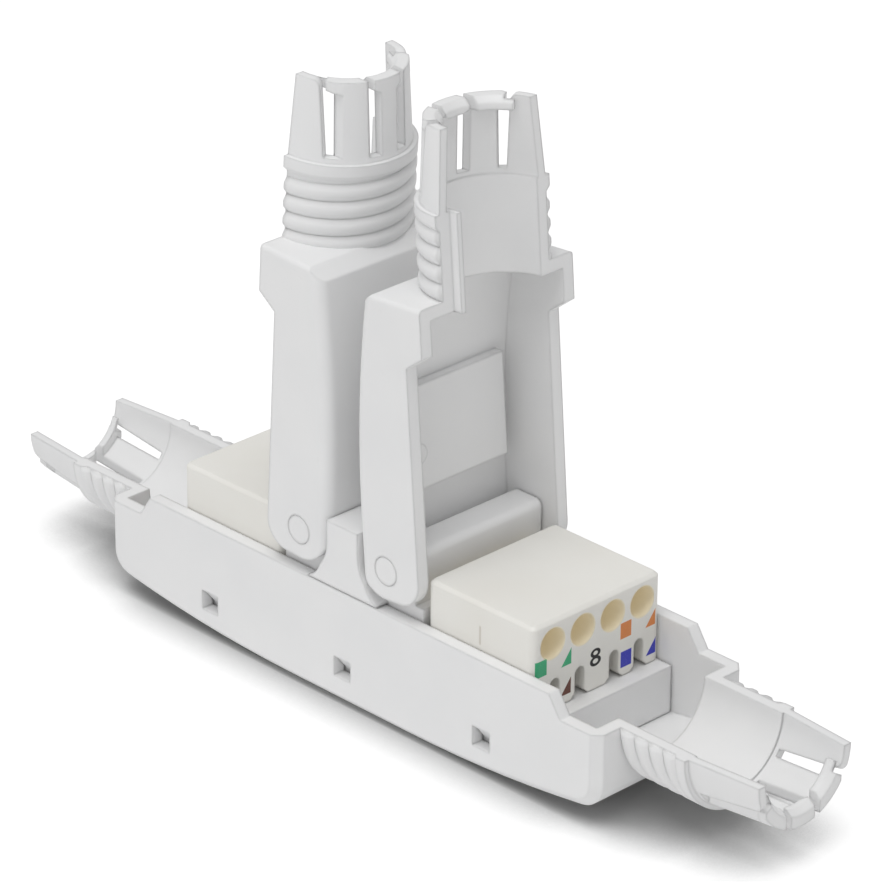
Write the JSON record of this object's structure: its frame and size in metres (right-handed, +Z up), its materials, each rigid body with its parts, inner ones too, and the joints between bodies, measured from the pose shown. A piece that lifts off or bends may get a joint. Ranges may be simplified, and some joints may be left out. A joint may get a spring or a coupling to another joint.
{
  "type": "cable joiner",
  "caption": "Open in-line joiner for twisted pair cable: a boat-shaped tray with split threaded collars, two upright hinged lids and cream wire caps over blade contacts.",
  "frame": {"origin": "on the rest face, under the middle of the joiner", "axes": "+X along the cable towards the near end, +Y across the tray, +Z up out of the open tray"},
  "size_m": [0.098, 0.0196, 0.0598],
  "materials": {
    "white_plastic": "fine satin moulded surface",
    "ivory_plastic": "satin moulded surface",
    "tinned_bronze": "stamped and tin plated",
    "board_laminate": "solder mask over glass laminate"
  },
  "bodies": {
    "root": {"tray": "white_plastic", "contact_carrier": "white_plastic", "circuit_board": "board_laminate", "wire_cap_near": "ivory_plastic", "wire_cap_far": "ivory_plastic", "contact_near_1": "tinned_bronze", "contact_near_2": "tinned_bronze", "contact_near_3": "tinned_bronze", "contact_near_4": "tinned_bronze", "contact_near_5": "tinned_bronze", "contact_near_6": "tinned_bronze", "contact_near_7": "tinned_bronze", "contact_near_8": "tinned_bronze", "contact_far_1": "tinned_bronze", "contact_far_2": "tinned_bronze", "contact_far_3": "tinned_bronze", "contact_far_4": "tinned_bronze", "contact_far_5": "tinned_bronze", "contact_far_6": "tinned_bronze", "contact_far_7": "tinned_bronze", "contact_far_8": "tinned_bronze"},
    "lid_near": {"lid_near": "white_plastic"},
    "lid_far": {"lid_far": "white_plastic"}
  },
  "joints": [
    {"name": "lid_near_hinge", "type": "hinge", "parent": "root", "child": "lid_near", "pos_m": [0.00585, 0, 0.0163], "axis": [0, 1, 0], "range_deg": [0, 94.5]},
    {"name": "lid_far_hinge", "type": "hinge", "parent": "root", "child": "lid_far", "pos_m": [-0.00585, 0, 0.0163], "axis": [0, -1, 0], "range_deg": [0, 93.1]}
  ]
}
